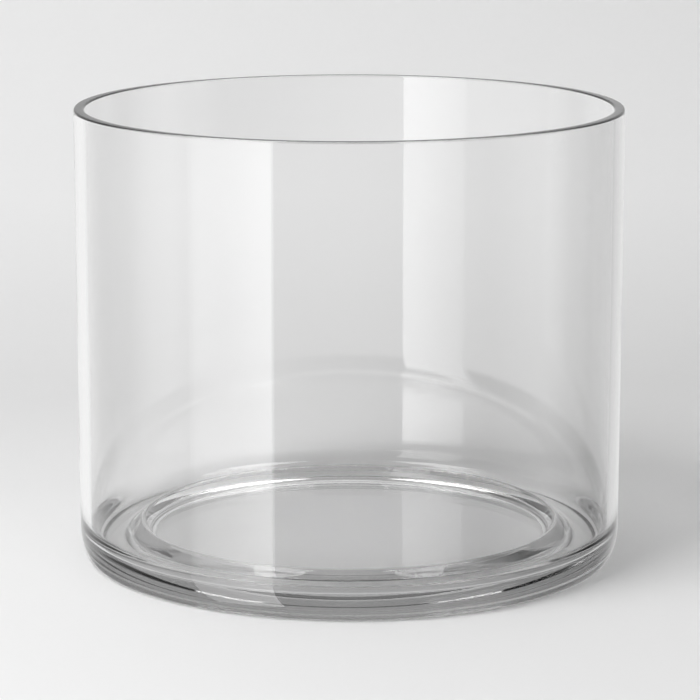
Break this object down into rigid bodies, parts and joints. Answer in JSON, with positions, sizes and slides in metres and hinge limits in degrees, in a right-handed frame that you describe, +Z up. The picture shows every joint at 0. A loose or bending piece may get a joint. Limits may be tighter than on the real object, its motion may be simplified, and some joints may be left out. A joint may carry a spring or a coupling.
{
  "type": "glass vessel",
  "caption": "Round straight-walled clear glass vessel, open at the top, with a thick base, rounded heel and fire-polished rim.",
  "frame": {"origin": "centre of the foot ring, on the plane the vessel stands on", "axes": "+Z up along the axis of turning; X and Y are alike, because the vessel is round"},
  "size_m": [0.19, 0.19, 0.158],
  "materials": {
    "clear_glass": "colourless soda-lime glass, smooth and fire-polished"
  },
  "bodies": {
    "root": {"glass_vessel": "clear_glass"}
  },
  "joints": []
}
